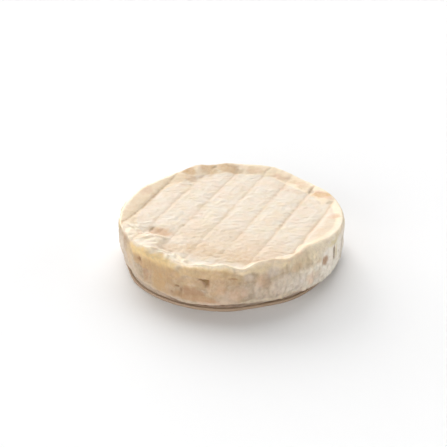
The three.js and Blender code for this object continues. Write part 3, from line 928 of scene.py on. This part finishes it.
rind = bpy.data.materials.new("bloomy_cheese_rind")
rind.use_nodes = True
rind_shader = rind.node_tree.nodes["Principled BSDF"]
rind_place = node(rind, "ShaderNodeTexCoord").outputs["Object"]
side_share = node(rind, "ShaderNodeAttribute", {"attribute_name": "side"}).outputs["Fac"]
cream = {"data_type": "RGBA"}
two_creams = {0: side_share, 6: linear(TOP_CREAM), 7: linear(SIDE_CREAM_AND_SHADE)}
colour = node(rind, "ShaderNodeMix", cream, two_creams).outputs[2]
for tint, size, strength in MOTTLES:
    noise_settings = {"Vector": rind_place, "Scale": 1 / (size * MM), "Detail": 2, "Roughness": 0.6}
    cloud = node(rind, "ShaderNodeTexNoise", None, noise_settings).outputs["Fac"]
    span = {"Value": cloud, "From Min": 0.45, "From Max": 0.65, "To Min": 0, "To Max": strength}
    patch = node(rind, "ShaderNodeMapRange", None, span).outputs["Result"]
    colour = node(rind, "ShaderNodeMix", cream, {0: patch, 6: colour, 7: linear(tint)}).outputs[2]
for number, (tint, size, strength) in enumerate(SIDE_MOTTLES):
    shift = {"Vector": rind_place, "Location": (number + 1, number + 1, number + 1)}
    moved = node(rind, "ShaderNodeMapping", None, shift).outputs["Vector"]
    noise_settings = {"Vector": moved, "Scale": 1 / (size * MM), "Detail": 2, "Roughness": 0.6}
    cloud = node(rind, "ShaderNodeTexNoise", None, noise_settings).outputs["Fac"]
    span = {"Value": cloud, "From Min": 0.5, "From Max": 0.68, "To Min": 0, "To Max": strength}
    patch = node(rind, "ShaderNodeMapRange", None, span).outputs["Result"]
    patch = node(rind, "ShaderNodeMath", {"operation": "MULTIPLY"}, {0: patch, 1: side_share}).outputs[0]
    colour = node(rind, "ShaderNodeMix", cream, {0: patch, 6: colour, 7: linear(tint)}).outputs[2]
print("mottles:", len(MOTTLES), "all over and", len(SIDE_MOTTLES), "on the side")

# %% [markdown]
# ## Stains, painted light and painted shade over the cream
#
# Whey, salt and mould stain a rind in films thin enough to see the cream through, and each film has ragged
# edges. Painted light and painted shade are laid the same way, as films over the cream. A painted image
# could hold them. Here each stain is one of the wheel's own point attributes, broken up by noise of 2 mm, so
# it keeps its place on the cheese and needs no picture. Later stains lie on top.

# %% The stains' colours
STAIN_COLOURS = {
    "amber": "#cfa673",
    "ochre": "#bf9a6c",
    "yellow": "#e8c98e",
    # brown patches, and painted shade in folds and holes
    "brown_and_shade": "#a98260",
    "rose": "#d8ae90",
    "bloom": "#d8cabb",
    # white bloom, partly painted light on the right
    "white": "#efe6d8",
    "straw": "#d9c690",
    # pale crest, with painted light and painted highlights
    "lip": "#f5e6cc",
    # painted shade in folds, holes, dents and mat lines
    "crevice_shade": "#8a6c47",
    # painted shade under the lower edge
    "underside": "#7e604c",
}
BREAKUP_SIZE = 2.2

noise_settings = {"Vector": rind_place, "Scale": 1 / (BREAKUP_SIZE * MM), "Detail": 3, "Roughness": 0.6}
breakup = node(rind, "ShaderNodeTexNoise", None, noise_settings).outputs["Fac"]
spread = {"operation": "MULTIPLY_ADD"}
ragged_by = node(rind, "ShaderNodeMath", spread, {0: breakup, 1: 1.5, 2: 0.25}).outputs[0]
times = {"operation": "MULTIPLY", "use_clamp": True}
for name in STAINS:
    stain = node(rind, "ShaderNodeAttribute", {"attribute_name": name}).outputs["Fac"]
    film = node(rind, "ShaderNodeMath", times, {0: stain, 1: ragged_by}).outputs[0]
    over = {0: film, 6: colour, 7: linear(STAIN_COLOURS[name])}
    colour = node(rind, "ShaderNodeMix", cream, over).outputs[2]
print("stains in order:", ", ".join(STAINS))

# %% [markdown]
# ## The rind's grain and gloss
#
# Mould leaves a velvet of threads a few hundredths of a millimetre thick, far too fine to show. It is drawn
# as grain of 0.8 mm in the colour and 0.7 mm in the bump, the finest that still shows. The skin holds fat
# and water: IOR 1.45 as in most foods, a roughness of 0.62 because the bloom scatters what would shine, and
# a little light that enters it and comes out warmer some 3 mm away.

# %% Grain, bump and gloss of the rind
GRAIN_SIZE = 0.8
BUMP_SIZE = 0.7
BUMP_DEPTH = 0.12

noise_settings = {"Vector": rind_place, "Scale": 1 / (GRAIN_SIZE * MM), "Detail": 2, "Roughness": 0.6}
grain = node(rind, "ShaderNodeTexNoise", None, noise_settings).outputs["Fac"]
shade = node(rind, "ShaderNodeMath", {"operation": "MULTIPLY_ADD"}, {0: grain, 1: 0.16, 2: 0.92}).outputs[0]
darken = {"data_type": "RGBA", "blend_type": "MULTIPLY"}
colour = node(rind, "ShaderNodeMix", darken, {0: 1, 6: colour, 7: shade}).outputs[2]
noise_settings = {"Vector": rind_place, "Scale": 1 / (BUMP_SIZE * MM), "Detail": 3, "Roughness": 0.6}
velvet = node(rind, "ShaderNodeTexNoise", None, noise_settings).outputs["Fac"]
bump_settings = {"Height": velvet, "Strength": 0.5, "Distance": BUMP_DEPTH * MM}
bump = node(rind, "ShaderNodeBump", None, bump_settings).outputs["Normal"]
rind.node_tree.links.new(colour, rind_shader.inputs["Base Color"])
rind.node_tree.links.new(bump, rind_shader.inputs["Normal"])
rind_shader.inputs["IOR"].default_value = 1.45
rind_shader.inputs["Metallic"].default_value = 0
rind_shader.inputs["Roughness"].default_value = 0.62
rind_shader.inputs["Subsurface Weight"].default_value = 0.15
rind_shader.inputs["Subsurface Radius"].default_value = (1, 0.6, 0.3)
rind_shader.inputs["Subsurface Scale"].default_value = 3 * MM
wheel.data.materials.append(rind)
print("the rind's nodes:", len(rind.node_tree.nodes))

# %% [markdown]
# ## The card: grey-brown paperboard, pressed and damp
#
# Board is pressed from wood fibre: dull, a little brown, and cloudy where it drew fat and water from the
# cheese. Two near browns in clouds of 5 mm give the damp, and a fine bump the fibres, which are 0.05 mm
# wide and are drawn 0.6 mm wide so that they show. Fibre has an IOR of 1.5 and hardly any shine.

# %% The card's material
DAMP_SIZE = 5
FIBRE_SIZE = 0.6
FIBRE_DEPTH = 0.06

board = bpy.data.materials.new("pressed_paperboard")
board.use_nodes = True
board_shader = board.node_tree.nodes["Principled BSDF"]
board_place = node(board, "ShaderNodeTexCoord").outputs["Object"]
noise_settings = {"Vector": board_place, "Scale": 1 / (DAMP_SIZE * MM), "Detail": 3, "Roughness": 0.6}
damp_clouds = node(board, "ShaderNodeTexNoise", None, noise_settings).outputs["Fac"]
browns = {0: damp_clouds, 6: linear("#b59e88"), 7: linear("#a08870")}
colour = node(board, "ShaderNodeMix", {"data_type": "RGBA"}, browns).outputs[2]
noise_settings = {"Vector": board_place, "Scale": 1 / (FIBRE_SIZE * MM), "Detail": 2, "Roughness": 0.6}
fibres = node(board, "ShaderNodeTexNoise", None, noise_settings).outputs["Fac"]
bump_settings = {"Height": fibres, "Strength": 0.4, "Distance": FIBRE_DEPTH * MM}
bump = node(board, "ShaderNodeBump", None, bump_settings).outputs["Normal"]
board.node_tree.links.new(colour, board_shader.inputs["Base Color"])
board.node_tree.links.new(bump, board_shader.inputs["Normal"])
board_shader.inputs["IOR"].default_value = 1.5
board_shader.inputs["Metallic"].default_value = 0
board_shader.inputs["Roughness"].default_value = 0.85
card.data.materials.append(board)
print("the card's nodes:", len(board.node_tree.nodes))

# %% [markdown]
# ## The floor
#
# A wheel like this is shown on something plain and pale. It is only a stage: a wide sheet of matt white
# paper, far larger than the view, so that no edge of it shows and light comes back from it on all sides.

# %% The floor
FLOOR_WIDTH = 8

deselect_all()
bpy.ops.mesh.primitive_plane_add(size=FLOOR_WIDTH)
floor = bpy.context.object
floor.name = floor.data.name = "floor"
paper = bpy.data.materials.new("matt_white_paper")
paper.use_nodes = True
paper_shader = paper.node_tree.nodes["Principled BSDF"]
paper_shader.inputs["Base Color"].default_value = linear("#f3f3f3")
paper_shader.inputs["Roughness"].default_value = 0.9
floor.data.materials.append(paper)
print("the floor is", FLOOR_WIDTH, "m wide")

# %% [markdown]
# ## Light
#
# The wheel is lit as in a small studio: a wide soft light behind it and above, which whitens the floor and
# rakes over the wrinkles of the top, a low one at the back left, and weak ones all round that lift the side
# without a hard shadow. Area lights near the wheel could do it too, but far ones 60 degrees wide light it
# evenly from every side, so that it looks right from all of them.

# %% The lights
KEY = (0, 42, 60, 2.56)
LOW_KEY = (35, 10, 60, 3.0)
RIGHT_FILL = (-85, 12, 60, 1.0)
LEFT_FILL = (130, 8, 60, 1.6)
FRONT_FILL = (170, 8, 60, 1.4)
CAMERA_FILL = (175, 38, 60, 0.3)


def studio_light(name, left_of_back, elevation, width, strength):
    """A far, wide light: degrees to the left of straight behind the wheel, and above the floor."""
    turn = CAMERA_TURN + math.radians(left_of_back)
    lift = math.radians(elevation)
    towards = Vector((-math.sin(turn) * math.cos(lift), math.cos(turn) * math.cos(lift), math.sin(lift)))
    bpy.ops.object.light_add(type="SUN", rotation=towards.to_track_quat("Z", "Y").to_euler())
    light = bpy.context.object
    light.name = name
    light.data.angle = math.radians(width)
    light.data.energy = strength


studio_light("key", *KEY)
studio_light("low_key", *LOW_KEY)
studio_light("right_fill", *RIGHT_FILL)
studio_light("left_fill", *LEFT_FILL)
studio_light("front_fill", *FRONT_FILL)
studio_light("camera_fill", *CAMERA_FILL)

# %% [markdown]
# ## The air of the studio
#
# A very weak white light from everywhere stands for what the walls give back. The colours are shown as they
# are: a film-like view would turn the cream to grey.

# %% The studio's own light, and colours shown as they are
SKY = 0.03

studio = bpy.data.worlds.new("studio")
studio.use_nodes = True
studio.node_tree.nodes["Background"].inputs["Color"].default_value = (1, 1, 1, 1)
studio.node_tree.nodes["Background"].inputs["Strength"].default_value = SKY
bpy.context.scene.world = studio
bpy.context.scene.view_settings.view_transform = "Standard"
print("view transform:", bpy.context.scene.view_settings.view_transform)
